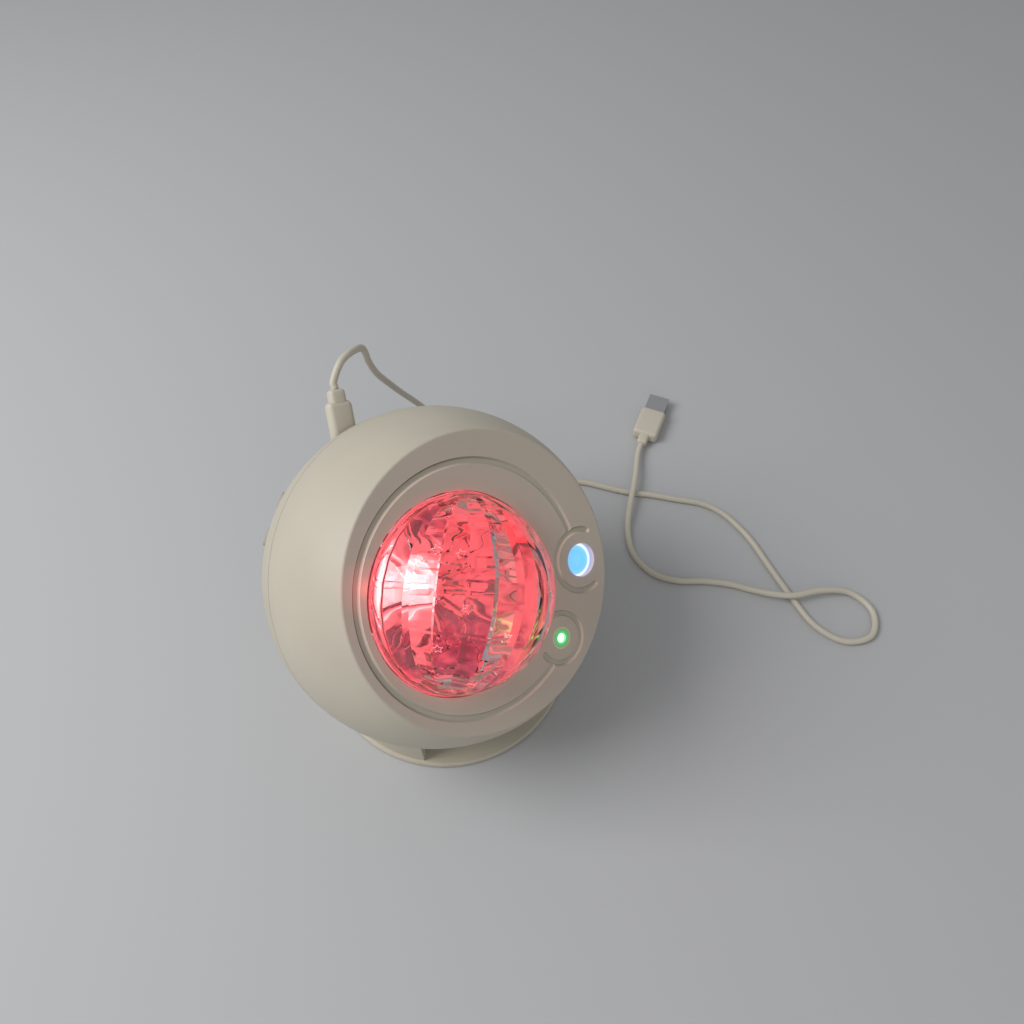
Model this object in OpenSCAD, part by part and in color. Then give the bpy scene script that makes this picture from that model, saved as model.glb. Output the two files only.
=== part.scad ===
// Star projector lamp: a ball head with a flat face and a faceted dome, standing in a
// C-shaped cradle. The lamp faces -Y, +Z is up, and the origin is the centre of the foot on the floor.

/* [Ball] */
// Outer diameter of the ball head
ball_d = 145; // [130:1:160]
// Height of the cap that the flat face cuts off the ball
cap_h = 32; // [28:0.5:34]
// Soft edge between the face and the ball
face_edge_r = 1.2; // [0.8:0.2:4]
// Wall of both ball shells
shell_t = 2.4; // [1.8:0.2:3]
// Thickness of the flat face
face_t = 3; // [2.5:0.5:4]
// Parting plane of the two shells, from the ball's centre towards the face
seam_offset = -2.5; // [-5:0.5:0]
// Elevation of the face's direction above the horizon
face_elevation = 42.7; // [20:0.1:70]
// Turn of the ball about the face's direction
head_roll = -45; // [-90:1:90]

/* [Dome] */
// Distance of the dome's axis from the ball's, along the face's first axis
dome_x = -10.2; // [-12:0.1:-6]
// Distance of the dome's axis from the ball's, along the face's second axis
dome_y = -4.9; // [-8:0.1:0]
// How much smaller the dome's radius is than the flat face's
dome_room = 20.5; // [19:0.1:24]
// Depth of the dome's equator behind the face
dome_sink = 6.5; // [5:0.5:8]
// Gores over the visible half of the dome
gore_count = 11; // [7:1:15]
// Width of the cuts between the gores
gore_cut = 1.1; // [0.6:0.1:1.4]
// Wall of the dome
dome_wall = 3; // [2:0.5:4]
// Width of the flange outside the dome
dome_flange = 2.6; // [2:0.2:4]
// Thickness of the clamp ring behind the flange
clamp_t = 3.4; // [2.4:0.2:5]
// Radius of the clamp ring's ears
clamp_ear_r = 4; // [3.5:0.5:5]

/* [Face] */
// Distance of the main groove outside the dome's ridges
groove_room = 10.4; // [9:0.1:11]
// Half width of the main groove at the face
groove_half = 1.5; // [1:0.1:1.6]
// Depth of all grooves in the face
groove_depth = 1; // [0.6:0.1:1.5]
// Main groove's centre along the face's first axis
groove_x = -4.3; // [-6:0.1:-2]
// Main groove's centre along the face's second axis
groove_y = -2.8; // [-4:0.1:0]
// Gap between the dome's flange and the blue lens barrel
blue_gap = 8; // [7:0.1:9]
// Turn of the blue lens round the dome's axis
blue_turn = 17; // [10:0.5:25]
// Clear radius of the blue lens
blue_r = 7; // [6:0.2:7.6]
// Depth of the blue lens behind the face
blue_sink = 2; // [1:0.2:3]
// Thickness of the blue lens
blue_lens_t = 3; // [2:0.2:4]
// Radius of the crescent groove beside the blue lens
blue_crescent_r = 13; // [12:0.2:14]
// Gap between the dome's flange and the laser window's lip
laser_gap = 3.6; // [3:0.1:5]
// Turn of the laser round the dome's axis
laser_turn = -17.9; // [-25:0.1:-12]
// Radius of the window insert in front of the laser
window_r = 4.6; // [4:0.1:5.2]
// Radius of the laser's aperture
aperture_r = 2; // [1.2:0.1:2.6]
// Radius of the crescent groove beside the laser
laser_crescent_r = 10.4; // [9.6:0.2:11.2]
// Half width of both crescent grooves at the face
crescent_half = 1.4; // [1:0.1:1.6]

/* [Light engine] */
// Thickness of the chassis plate
chassis_t = 2; // [1.6:0.2:3]
// Gap between the chassis plate and the ball's shells
chassis_gap = 5; // [2:0.5:6]
// Distance of the LED board's edge inside the dome's ridges
board_margin = 5.6; // [4.5:0.1:8]
// Height of the LED board over the chassis
tower_h = 10.5; // [8:0.5:13]
// Thickness of every circuit board
board_t = 1.6; // [1:0.2:2]
// Wall of the light tray and of the tower
tray_t = 1.6; // [1.2:0.2:2.4]
// Radius of the ripple motor
motor_r = 10; // [8:0.5:11]
// Height of the ripple motor
motor_h = 16.5; // [14:0.5:18]
// Radius of both motor shafts
shaft_r = 1.5; // [1:0.1:2]
// Running clearance of the shafts in their motors
shaft_gap = 0.05; // [0.02:0.01:0.1]
// Gap between the ripple wheel and the foot of the light tray
ripple_gap = 2.4; // [1.5:0.1:5]
// Thickness of the ripple wheel's disc
ripple_t = 2.4; // [1.6:0.2:3]
// Ridges of the ripple wheel
ripple_count = 12; // [6:1:16]
// Radius of the laser barrel
laser_r = 4; // [3:0.5:4.5]
// Gap between the star disc and the laser window
window_gap = 4.8; // [2:0.1:6]
// Wall between the laser's bore and the star motor's
bore_wall = 1; // [0.8:0.1:2]
// Turn of the star motor round the laser's axis
star_turn = 43.8; // [30:0.1:60]
// Gap round the star disc
star_clear = 1.2; // [0.8:0.1:2]
// Radius of the star motor
star_motor_r = 5; // [4:0.2:5.2]

/* [Rear] */
// Distance of the shell screws' axes inside the shells' wall
post_inset = 9; // [8:0.1:11]
// Radius of the shell posts
post_r = 4; // [3.5:0.1:4.5]
// Radius of the shell and base screws' shanks
screw_r = 1.4; // [1.1:0.1:1.6]
// Radius of the shell and base screws' heads
screw_head_r = 2.8; // [2.4:0.1:3]
// Radius of the push buttons
button_r = 4.5; // [4:0.1:5]
// Distance between the push buttons
button_pitch = 15; // [13:0.5:16]
// Turn of the buttons from the face's first axis
button_turn = 165; // [162:1:168]
// Angle of the buttons behind the ball's equator
button_low = 24; // [22:1:30]
// Travel of the push buttons
button_travel = 0.8; // [0.5:0.1:1]
// Gap around the push buttons
button_gap = 0.35; // [0.3:0.05:0.5]

/* [Lead] */
// Turn of the plug from the face's second axis
plug_turn = 18; // [10:1:25]
// Sideways place of the plug
plug_side = -22.5; // [-24:0.5:-20]
// Depth of the plug's axis behind the ball's centre
plug_depth = 18.3; // [17:0.1:20]
// Width of the USB-C plug
plug_w = 11.2; // [10.4:0.1:12]
// Thickness of the USB-C plug
plug_t = 6.4; // [5.6:0.1:6.6]
// Length of the USB-C plug's body
plug_len = 20; // [18:0.5:24]
// Diameter of the lead
cord_d = 3.3; // [3.3:0.1:3.3]

/* [Base] */
// Radius of the base plate
base_r = 60.3; // [60:0.1:64]
// Thickness of the base plate
base_t = 2.8; // [2.4:0.1:4]
// Gap between the ball's lowest point and the plate
ball_clear = 1.6; // [1.2:0.1:4]
// Ledge of the plate outside the cradle wall
base_ledge = 1.8; // [1:0.1:3]
// Thickness of the cradle wall
cradle_t = 3.6; // [3:0.1:4.4]
// Height of the wall's top over the inner edge of its soft seat
wall_rise = 0.4; // [0:0.1:1]
// Angle of the cradle's front gap
gap_angle = 116; // [90:1:130]
// Gap between the ball and its soft seat
seat_gap = 0.35; // [0.3:0.05:0.6]
// Width of the soft seat strip
seat_w = 2; // [1.6:0.1:2.4]
// Depth of the soft seat strip in the wall
seat_h = 4; // [3:0.5:6]
// Thickness of the anti-slip pad below the plate
foot_h = 0.6; // [0.4:0.1:1.5]
// Distance of the pad's edge inside the plate's rim
foot_inset = 4; // [2:0.5:6]

/* [Hidden] */
$fn = 64;

ivory = [0.86, 0.83, 0.75];
face_ivory = [0.80, 0.75, 0.70];
crystal = [0.98, 0.45, 0.50, 0.6];
white_plastic = [0.92, 0.92, 0.90];
black_plastic = [0.10, 0.10, 0.11];
steel = [0.72, 0.73, 0.75];
brass = [0.80, 0.65, 0.30];
board_green = [0.10, 0.35, 0.20];
rubber_grey = [0.25, 0.25, 0.26];
cord_white = [0.86, 0.84, 0.79];

ball_r = ball_d / 2;
inner_r = ball_r - shell_t;
inner_edge_r = 1.5;
seam_line_r = 0.4;
groove_shoulder = 0.1;
groove_flare = 0.7;
face_offset = ball_r - cap_h;
face_r = sqrt(ball_r * ball_r - face_offset * face_offset);
face_back = face_offset - face_t;

plate_top = foot_h + base_t;
plate_edge = 1;
ball_z = plate_top + ball_clear + ball_r;
wall_out = base_r - base_ledge;
wall_in = wall_out - cradle_t;
cradle_top = ball_z - sqrt(pow(ball_r + seat_gap, 2) - wall_in * wall_in) + wall_rise;
boss_r = 3.4;
boss_h = 10;
boss_root = 1;
boss_ring_r = wall_in - boss_r + boss_root;
boss_angles = [-20, 90, 200];
base_head_h = 1.4;
base_grip = 4;
screw_play = 0.1;
screw_tip = 0.2;

dome_r = face_r - dome_room;
dome_bore_r = dome_r - dome_wall;
dome_play = 0.2;
flange_r = dome_r + dome_flange;
equator = face_offset - dome_sink;
dome_flange_t = face_back - equator;
gore_line_start = 8;
clamp_bottom = equator - clamp_t;
clamp_lip = 1;
clamp_in_r = dome_bore_r - clamp_lip;
clamp_head_h = 1.6;
clamp_grip = 2.8;
ear_gap = 0.3;
ear_ring_r = flange_r + clamp_ear_r + ear_gap;
ear_step = 0.4;
ear_angles = [100, 255, 330];
tongue_half = 2.5;
tongue_root = 3;

groove_r = dome_r + groove_room;
groove_arc = [33, 291];
blue_arc = [83, 230];
laser_arc = [-136, 254];
barrel_wall = 1.4;
barrel_len = 17;
blue_dist = flange_r + blue_gap + barrel_wall + blue_r;
blue_x = dome_x + blue_dist * cos(blue_turn);
blue_y = dome_y + blue_dist * sin(blue_turn);
window_lip = 1.6;
window_lip_t = 1.5;
laser_dist = flange_r + laser_gap + window_lip + window_r;
laser_x = dome_x + laser_dist * cos(laser_turn);
laser_y = dome_y + laser_dist * sin(laser_turn);

chassis_top = seam_offset;
chassis_r = sqrt(inner_r * inner_r - pow(chassis_top - chassis_t, 2)) - chassis_gap;
wire_hole_r = 5;
wire_hole_inset = 11;
wire_hole_ring_r = chassis_r - wire_hole_inset;
wire_angles = [90, 210];
board_r = dome_r - board_margin;
board_z = chassis_top + tower_h;
board_top = board_z + board_t;
board_play = 0.1;
led_w = 5;
led_h = 1.8;
led_ring_r = (motor_r + board_r - tray_t) / 2;
led_cream = [1, 0.9, 0.8];
tray_inset = 4;
tray_top_r = flange_r - tray_inset;
motor_floor = 4;
motor_top = chassis_top + motor_h;
shaft_end_gap = 0.5;
wheel_rise = 6;
ripple_z = motor_top + wheel_rise;
ripple_r = board_r - tray_t - ripple_gap;
hub_r = 4;
hub_h = 3;
ridge_start = 8;
ridge_r = 1.6;
star_t = 1.2;
star_hub_h = 2.5;
star_hub_r = shaft_r + 1.6;
star_top = face_back - window_lip_t - window_gap;
star_z = star_top - star_t;
star_motor_gap = 1.5;
star_motor_top = star_z - star_hub_h - star_motor_gap;
laser_floor = 2.5;
laser_rise = 3;
laser_mouth = 3;
laser_bottom = chassis_top + laser_floor;
laser_h = star_z - laser_rise - laser_bottom;
holder_h = 16;
holder_wall = 2.4;
star_reach = laser_r + bore_wall + star_motor_r;
star_x = laser_x + star_reach * cos(star_turn);
star_y = laser_y + star_reach * sin(star_turn);
star_room_out = sqrt(inner_r * inner_r - star_top * star_top) - norm([star_x, star_y]);
star_room_in = norm([star_x - dome_x, star_y - dome_y]) - flange_r;
star_r = min(star_room_out, star_room_in) - star_clear;

post_angles = [75, 195, 315];
post_ring_r = inner_r - post_inset;
tube_wall = 1.4;
tube_top = chassis_top - chassis_t;
screw_land = 6;
screw_seat = tube_top - screw_land;
screw_grip = 9;
shell_head_h = 2;
head_play = 0.4;
plug_clear = 1.4;
plug_corner = 1.6;
pocket_w = plug_w + 2 * plug_clear;
pocket_h = plug_t + 2 * plug_clear;
pocket_wall = 1.6;
pocket_depth = 6.6;
pocket_floor = sqrt(ball_r * ball_r - plug_side * plug_side - plug_depth * plug_depth) - pocket_depth;
plug_gap = 0.2;
plug_start = pocket_floor + plug_gap;
plug_end = plug_start + plug_len;
relief_len = 5.2;
relief_w = 7;
relief_t = 5.2;
relief_corner = 1.5;
socket_w = 9;
socket_t = 3.2;
socket_len = 7.4;
socket_floor = 1.2;
socket_end = pocket_floor - pocket_wall;
tongue_w = 8.3;
tongue_t = 2.5;
tongue_corner = 1;
tongue_play = 0.4;
tongue_gap = 0.8;
tongue_len = plug_gap + pocket_wall + socket_len - socket_floor - tongue_gap;
main_board_z = -plug_depth - socket_t / 2 - board_t;
board_side = 40;
board_clear = 3.2;
board_setback = 2.2;
post_side = post_ring_r * cos(post_angles[0] - plug_turn);
board_x = [board_side - inner_r, post_side - post_r - tube_wall - board_clear];
board_y = [-26, socket_end - board_setback];
standoff_r = 2.4;
standoff_inset = 4;
standoff_setback = 14;
chip_size = [14, 14, 2];
chip_place = [26, 14];
choke_size = [8, 8, 5];
choke_place = [4, 42];
collar_w = 1.4;
collar_t = 1.2;
ring_play = 0.8;
button_ring_r = button_pitch / 2 + button_r + collar_w + ring_play;
button_ring_t = 1.6;
button_proud = 0.6;
switch_depth = 14.5;
switch_board_r = ball_r - switch_depth;
switch_w = 6;
switch_h = 3.5;
plunger_r = 1.7;
plunger_h = 1;
plunger_play = 0.2;
button_foot = switch_board_r + switch_h + plunger_h + button_travel + plunger_play;

lead_clear = 0.4;
cord_exit = plug_end + relief_len + lead_clear;
joint_gap = 0.2;
tie_t = 0.8;
tie_w = 4;
tie_play = 0.3;
tie_corner = 1.5;
floor_z = cord_d / 2 + tie_play + tie_t + 0.1;
coil_pitch = cord_d + 0.5;
coil_centre = [88, 58];
coil_out_r = 21;
coil_turns = 1.25;
coil_total = 2 * coil_turns + 0.5;
coil_start = [coil_centre[0] + coil_out_r, coil_centre[1] + cord_d, floor_z];
coil_end = [coil_centre[0] + coil_out_r, coil_centre[1] - cord_d, floor_z + coil_pitch];
a_relief_w = 6;
a_relief_t = 5;
a_relief_len = 6;
a_relief_corner = 2;
a_body_w = 15;
a_body_t = 7.8;
a_body_len = 21;
a_shell_w = 12;
a_shell_t = 4.5;
a_shell_len = 12.5;
a_shell_wall = 0.4;
a_tongue_t = 1.6;

// Places what follows in the ball's own axes: Z along the face's direction.
module in_head() {
  translate([0, 0, ball_z]) rotate([90 - face_elevation, 0, 0]) rotate([0, 0, head_roll]) children();
}

// Places what follows in the plug's axes: Y along the plug, towards the lead.
module in_plug() {
  in_head() rotate([0, 0, plug_turn]) translate([plug_side, 0, -plug_depth]) children();
}

// Places what follows on the dome's axis.
module on_dome() {
  in_head() translate([dome_x, dome_y, 0]) children();
}

// Half section of a ball with a flat and a soft edge round it.
module ball_section(radius, flat, edge) {
  edge_x = sqrt(pow(radius - edge, 2) - pow(flat - edge, 2));
  intersection() {
    circle(radius);
    polygon([[0, -radius], [radius, -radius], [radius, radius * (flat - edge) / edge_x], [0, 0]]);
  }
  translate([edge_x, flat - edge]) circle(edge);
  polygon([[0, -edge], [edge_x, flat - 2 * edge], [edge_x, flat], [0, flat]]);
}

module ball_solid(radius, flat, edge) {
  rotate_extrude() ball_section(radius, flat, edge);
}

// Everything above or below the parting plane, as a block.
module half_space(above) {
  translate([-ball_d, -ball_d, above ? seam_offset : seam_offset - 2 * ball_d])
    cube([2 * ball_d, 2 * ball_d, 2 * ball_d]);
}

// Fine shadow line round the ball where the two shells meet.
module seam_line() {
  seam_r = sqrt(ball_r * ball_r - seam_offset * seam_offset);
  rotate_extrude() translate([seam_r, seam_offset]) circle(seam_line_r);
}

// Flared groove along an arc of a start and a sweep, with round ends, sunk below the plane it is placed on.
module arc_groove(radius, half, arc) {
  floor_half = half - groove_flare;
  top_half = half + groove_flare;
  top = 2 * groove_depth;
  translate([0, 0, -groove_depth]) {
    rotate([0, 0, arc[0]]) rotate_extrude(angle = arc[1]) translate([radius, 0])
      polygon([[-floor_half, 0], [floor_half, 0], [top_half, top], [-top_half, top]]);
    for (turn = [arc[0], arc[0] + arc[1]]) rotate([0, 0, turn]) translate([radius, 0, 0])
      cylinder(r1 = floor_half - groove_shoulder, r2 = top_half - groove_shoulder, h = top);
  }
}

module rounded_slab(width, thick, length, corner) {
  linear_extrude(length) {
    square([width - 2 * corner, thick], center = true);
    square([width, thick - 2 * corner], center = true);
    for (x = [-1, 1], y = [-1, 1])
      translate([x * (width / 2 - corner), y * (thick / 2 - corner)]) circle(corner);
  }
}

module tube_ring(outer, inner, height) {
  difference() {
    cylinder(r = outer, h = height);
    translate([0, 0, -1]) cylinder(r = inner, h = height + 2);
  }
}

module screw(shank_r, head_r, head_h, length) {
  cylinder(r = shank_r, h = length);
  translate([0, 0, -head_h]) cylinder(r = head_r, h = head_h);
}

// Shell posts stand on one circle round the ball's axis.
module at_posts() {
  for (angle = post_angles) rotate([0, 0, angle]) translate([post_ring_r, 0, 0]) children();
}

module at_ear(index) {
  rotate([0, 0, ear_angles[index]]) translate([ear_ring_r, 0, 0]) children();
}

module face_grooves() {
  translate([groove_x, groove_y, face_offset]) arc_groove(groove_r, groove_half, groove_arc);
  translate([blue_x, blue_y, face_offset]) arc_groove(blue_crescent_r, crescent_half, blue_arc);
  translate([laser_x, laser_y, face_offset]) arc_groove(laser_crescent_r, crescent_half, laser_arc);
}

module front_shell() {
  in_head() color(ivory) difference() {
    union() {
      intersection() {
        difference() {
          ball_solid(ball_r, face_offset, face_edge_r);
          ball_solid(inner_r, face_back, inner_edge_r);
        }
        half_space(true);
      }
      intersection() {
        union() {
          at_posts() translate([0, 0, seam_offset]) cylinder(r = post_r, h = face_back - seam_offset);
          translate([dome_x, dome_y, equator - ear_step])
            for (i = [0:2]) at_ear(i) cylinder(r = clamp_ear_r, h = dome_flange_t + 2 * ear_step);
        }
        ball_solid(ball_r - shell_t / 2, face_offset - face_t / 2, face_edge_r);
      }
    }
    translate([dome_x, dome_y, face_back - 1]) cylinder(r = dome_r + dome_play, h = face_t + 2);
    translate([blue_x, blue_y, face_back - 1]) cylinder(r = blue_r, h = face_t + 2);
    translate([laser_x, laser_y, face_back - 1]) cylinder(r = window_r, h = face_t + 2);
    face_grooves();
    seam_line();
    at_posts() translate([0, 0, seam_offset - 1]) cylinder(r = screw_r, h = screw_grip + 1);
    translate([dome_x, dome_y, equator - 1]) for (i = [0:2]) at_ear(i)
      cylinder(r = screw_r, h = 1 + clamp_grip + screw_tip);
  }
}

module usb_pocket_block() {
  rotate([0, 0, plug_turn]) translate([plug_side, pocket_floor - pocket_wall, -plug_depth])
    rotate([-90, 0, 0])
      rounded_slab(pocket_w + 2 * pocket_wall, pocket_h + 2 * pocket_wall, ball_r, plug_corner);
}

module usb_pocket_cut() {
  rotate([0, 0, plug_turn]) translate([plug_side, pocket_floor, -plug_depth])
    rotate([-90, 0, 0]) rounded_slab(pocket_w, pocket_h, ball_r, plug_corner);
  rotate([0, 0, plug_turn]) translate([plug_side, pocket_floor - 2 * pocket_wall, -plug_depth])
    rotate([-90, 0, 0])
      rounded_slab(tongue_w + tongue_play, tongue_t + tongue_play, 3 * pocket_wall, tongue_corner);
}

// Places what follows behind the buttons: Z points out of the ball, Y runs along their row.
module behind_buttons() {
  rotate([0, 0, button_turn]) rotate([0, 90 + button_low, 0]) children();
}

module rear_cover() {
  in_head() color(ivory) difference() {
    union() {
      difference() {
        intersection() {
          sphere(ball_r);
          half_space(false);
        }
        sphere(inner_r);
      }
      intersection() {
        union() {
          at_posts() translate([0, 0, -ball_r]) cylinder(r = post_r + tube_wall, h = ball_r + tube_top);
          usb_pocket_block();
          behind_buttons() translate([0, 0, switch_board_r])
            tube_ring(button_ring_r + button_ring_t, button_ring_r, ball_r - switch_board_r);
        }
        sphere(ball_r - shell_t / 2);
      }
    }
    usb_pocket_cut();
    seam_line();
    at_posts() {
      translate([0, 0, -ball_r - 1]) cylinder(r = screw_r + screw_play, h = 2 * ball_r);
      translate([0, 0, -ball_r - 1]) cylinder(r = screw_head_r + head_play, h = ball_r + 1 + screw_seat);
    }
    for (side = [-1, 1]) behind_buttons() translate([0, side * button_pitch / 2, button_foot])
      cylinder(r = button_r + button_gap, h = ball_r - button_foot + 1);
  }
}

module shell_screw(index) {
  in_head() rotate([0, 0, post_angles[index]]) translate([post_ring_r, 0, screw_seat]) color(steel)
    screw(screw_r, screw_head_r, shell_head_h, seam_offset + screw_grip - screw_seat);
}

// Fine cut along one meridian of the dome, between two gores.
module gore_line(turn) {
  rotate([0, -turn, 0]) rotate([0, 0, gore_line_start - 90]) rotate_extrude(angle = 180 - 2 * gore_line_start)
    translate([dome_r, 0]) rotate(45) square(gore_cut, center = true);
}

// Half globe of clear gores, whose poles lie on the face's second axis, with a flange behind the face.
module dome() {
  on_dome() translate([0, 0, equator]) color(crystal) difference() {
    union() {
      difference() {
        sphere(dome_r);
        translate([-ball_r, -ball_r, -ball_d]) cube([ball_d, ball_d, ball_d + 1]);
        for (k = [1:gore_count - 2]) gore_line((k + 0.5) * 180 / gore_count);
      }
      cylinder(r = flange_r, h = dome_flange_t);
    }
    sphere(dome_bore_r);
  }
}

module dome_clamp() {
  on_dome() translate([0, 0, clamp_bottom]) color(white_plastic) difference() {
    union() {
      cylinder(r = flange_r, h = clamp_t);
      for (i = [0:2]) at_ear(i) {
        cylinder(r = clamp_ear_r, h = clamp_t - ear_step);
        translate([-clamp_ear_r - tongue_root, -tongue_half, ear_step])
          cube([clamp_ear_r + tongue_root, 2 * tongue_half, clamp_t - 2.5 * ear_step]);
      }
    }
    translate([0, 0, -1]) cylinder(r = clamp_in_r, h = clamp_t + 2);
    translate([0, 0, -1]) for (i = [0:2]) at_ear(i) cylinder(r = screw_r, h = clamp_t + 2);
  }
}

module clamp_screw(index) {
  on_dome() translate([0, 0, clamp_bottom]) at_ear(index) color(steel)
    screw(screw_r, screw_head_r, clamp_head_h, clamp_t + clamp_grip);
}

// Plate across the ball at the parting plane, with a tower for the light and stand-offs for the board.
module chassis() {
  in_head() color(black_plastic) difference() {
    union() {
      translate([0, 0, tube_top]) cylinder(r = chassis_r, h = chassis_t);
      translate([dome_x, dome_y, chassis_top - chassis_t / 2])
        tube_ring(board_r, board_r - tray_t, tower_h + chassis_t / 2);
      at_board_corners() translate([0, 0, main_board_z + board_t])
        cylinder(r = standoff_r, h = chassis_top - chassis_t / 2 - main_board_z - board_t);
    }
    at_posts() translate([0, 0, tube_top - 1]) cylinder(r = screw_r + screw_play, h = chassis_t + 2);
    for (angle = wire_angles) rotate([0, 0, angle]) translate([wire_hole_ring_r, 0, tube_top - 1])
      cylinder(r = wire_hole_r, h = chassis_t + 2);
  }
}

module at_board_corners() {
  rotate([0, 0, plug_turn])
    for (x = [board_x[0] + standoff_inset, board_x[1] - standoff_inset],
         y = [board_y[0] + standoff_inset, board_y[1] - standoff_setback])
      translate([x, y, 0]) children();
}

module main_board() {
  in_head() rotate([0, 0, plug_turn]) translate([board_x[0], board_y[0], main_board_z]) color(board_green) {
    cube([board_x[1] - board_x[0], board_y[1] - board_y[0], board_t]);
    translate([chip_place[0], chip_place[1], -chip_size[2]]) cube(chip_size);
    translate([choke_place[0], choke_place[1], -choke_size[2]]) cube(choke_size);
  }
}

module usb_socket() {
  color(steel) in_plug() translate([0, socket_end - socket_len, 0]) rotate([-90, 0, 0]) difference() {
    rounded_slab(socket_w, socket_t, socket_len, tongue_corner + (socket_t - tongue_t) / 2);
    translate([0, 0, socket_floor]) rounded_slab(tongue_w, tongue_t, socket_len, tongue_corner);
  }
}

module plug_tongue() {
  color(steel) in_plug() translate([0, plug_start - tongue_len, 0]) rotate([-90, 0, 0])
    rounded_slab(tongue_w, tongue_t, tongue_len, tongue_corner);
}

module usb_c_plug() {
  color(cord_white) in_plug() translate([0, plug_start, 0]) rotate([-90, 0, 0]) {
    rounded_slab(plug_w, plug_t, plug_len, plug_corner);
    translate([0, 0, plug_len]) rounded_slab(relief_w, relief_t, relief_len, relief_corner);
  }
}

module led_board() {
  on_dome() translate([0, 0, board_z]) color(white_plastic) difference() {
    cylinder(r = board_r, h = board_t);
    translate([0, 0, -1]) cylinder(r = motor_r + board_play, h = board_t + 2);
  }
}

module led(index) {
  on_dome() rotate([0, 0, 90 * index]) translate([led_ring_r, 0, board_top]) color(led_cream)
    translate([-led_w / 2, -led_w / 2, 0]) cube([led_w, led_w, led_h]);
}

module light_tray() {
  on_dome() color(white_plastic) rotate_extrude() polygon([
    [board_r - tray_t, board_top], [board_r, board_top],
    [tray_top_r, clamp_bottom], [tray_top_r - tray_t, clamp_bottom]
  ]);
}

module ripple_motor() {
  on_dome() translate([0, 0, chassis_top]) color(steel) difference() {
    cylinder(r = motor_r, h = motor_h);
    translate([0, 0, motor_floor]) cylinder(r = shaft_r + shaft_gap, h = motor_h);
  }
}

module ripple_shaft() {
  start = chassis_top + motor_floor + shaft_end_gap;
  on_dome() translate([0, 0, start]) color(steel) cylinder(r = shaft_r, h = ripple_z + ripple_t - start);
}

// Clear disc with rounded spokes that bend the light into moving ripples.
module ripple_wheel() {
  on_dome() translate([0, 0, ripple_z]) color(crystal) difference() {
    union() {
      cylinder(r = ripple_r, h = ripple_t);
      translate([0, 0, -hub_h]) cylinder(r = hub_r, h = hub_h + ripple_t / 2);
      for (k = [0:ripple_count - 1]) rotate([0, 0, k * 360 / ripple_count])
        translate([ridge_start, 0, ripple_t]) rotate([0, 90, 0])
          cylinder(r = ridge_r, h = ripple_r - ridge_start - 1);
    }
    translate([0, 0, -hub_h - 1]) cylinder(r = shaft_r, h = hub_h + 1 + ripple_t);
  }
}

module laser_holder() {
  in_head() translate([0, 0, chassis_top]) color(black_plastic) difference() {
    union() {
      translate([laser_x, laser_y, 0]) cylinder(r = laser_r + holder_wall, h = holder_h);
      translate([star_x, star_y, 0]) cylinder(r = star_motor_r + holder_wall, h = holder_h);
    }
    translate([laser_x, laser_y, laser_bottom - chassis_top]) cylinder(r = laser_r, h = holder_h);
    translate([star_x, star_y, laser_bottom - chassis_top]) cylinder(r = star_motor_r, h = holder_h);
  }
}

module laser_module() {
  in_head() translate([laser_x, laser_y, laser_bottom]) color(brass) difference() {
    cylinder(r = laser_r, h = laser_h);
    translate([0, 0, laser_h - laser_mouth]) cylinder(r = aperture_r, h = laser_mouth + 1);
  }
}

module laser_window() {
  in_head() translate([laser_x, laser_y, face_back - window_lip_t]) color(face_ivory) difference() {
    union() {
      cylinder(r = window_r, h = face_t + window_lip_t);
      cylinder(r = window_r + window_lip, h = window_lip_t);
    }
    translate([0, 0, -1]) cylinder(r = aperture_r, h = face_t + window_lip_t + 2);
  }
}

module star_motor() {
  in_head() translate([star_x, star_y, laser_bottom]) color(steel) difference() {
    cylinder(r = star_motor_r, h = star_motor_top - laser_bottom);
    translate([0, 0, motor_floor]) cylinder(r = shaft_r + shaft_gap, h = star_motor_top);
  }
}

module star_shaft() {
  start = laser_bottom + motor_floor + shaft_end_gap;
  in_head() translate([star_x, star_y, start]) color(steel) cylinder(r = shaft_r, h = star_top - start);
}

module star_disc() {
  in_head() translate([star_x, star_y, star_z]) color(crystal) difference() {
    union() {
      cylinder(r = star_r, h = star_t);
      translate([0, 0, -star_hub_h]) cylinder(r = star_hub_r, h = star_hub_h + star_t / 2);
    }
    translate([0, 0, -star_hub_h - 1]) cylinder(r = shaft_r, h = star_hub_h + star_t + 2);
  }
}

module blue_barrel() {
  in_head() translate([blue_x, blue_y, face_back - barrel_len]) color(black_plastic)
    tube_ring(blue_r + barrel_wall, blue_r, barrel_len);
}

module blue_lens() {
  in_head() translate([blue_x, blue_y, face_offset - blue_sink - blue_lens_t]) color([0.45, 0.75, 0.98])
    cylinder(r = blue_r, h = blue_lens_t);
}

module blue_led() {
  in_head() translate([blue_x, blue_y, face_back - barrel_len - board_t]) color(board_green) {
    cylinder(r = blue_r + barrel_wall, h = board_t);
    translate([-led_w / 2, -led_w / 2, board_t]) cube([led_w, led_w, led_h]);
  }
}

module switch_board() {
  in_head() behind_buttons() translate([0, 0, switch_board_r - board_t]) color(board_green)
    cylinder(r = button_ring_r + button_ring_t, h = board_t);
}

module switch_body(side) {
  in_head() behind_buttons() translate([0, side * button_pitch / 2, switch_board_r]) color(black_plastic) {
    translate([-switch_w / 2, -switch_w / 2, 0]) cube([switch_w, switch_w, switch_h]);
    cylinder(r = plunger_r, h = switch_h + plunger_h);
  }
}

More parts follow.
